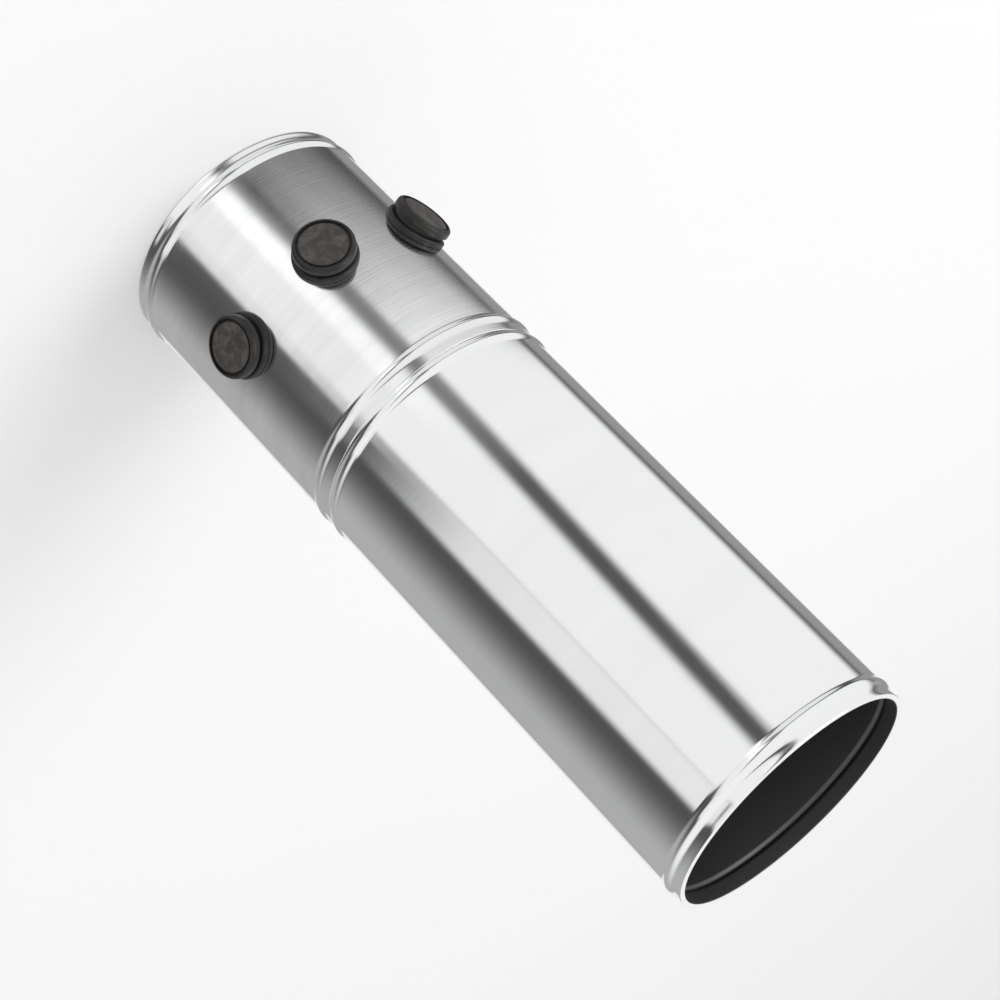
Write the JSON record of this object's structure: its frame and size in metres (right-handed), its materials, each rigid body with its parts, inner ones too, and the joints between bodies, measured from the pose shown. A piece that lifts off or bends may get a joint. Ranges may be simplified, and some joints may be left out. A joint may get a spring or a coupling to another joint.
{
  "type": "cold air intake pipe",
  "caption": "Straight aluminium cold air intake pipe: a sensor tube with rubber-plugged ports, slip-jointed to a longer extension tube, with rolled beads for clamps.",
  "frame": {"origin": "on the pipe's axis, at the sensor tube's open rim, which it stands on", "axes": "+Z along the pipe from the sensor tube's rim to the extension tube's rim, -Y out of the middle sensor port"},
  "size_m": [0.0786, 0.0821, 0.234],
  "materials": {
    "brushed_aluminium": "satin, brushed round the tube",
    "polished_aluminium": "bright satin",
    "grommet_rubber": "smooth black rubber",
    "plug_rubber": "moulded dark rubber, slightly worn face"
  },
  "bodies": {
    "root": {"sensor_tube": "brushed_aluminium", "extension_tube": "polished_aluminium", "sensor_grommet_1": "grommet_rubber", "sensor_grommet_2": "grommet_rubber", "sensor_grommet_3": "grommet_rubber", "sensor_plug_1": "plug_rubber", "sensor_plug_2": "plug_rubber", "sensor_plug_3": "plug_rubber"}
  },
  "joints": []
}
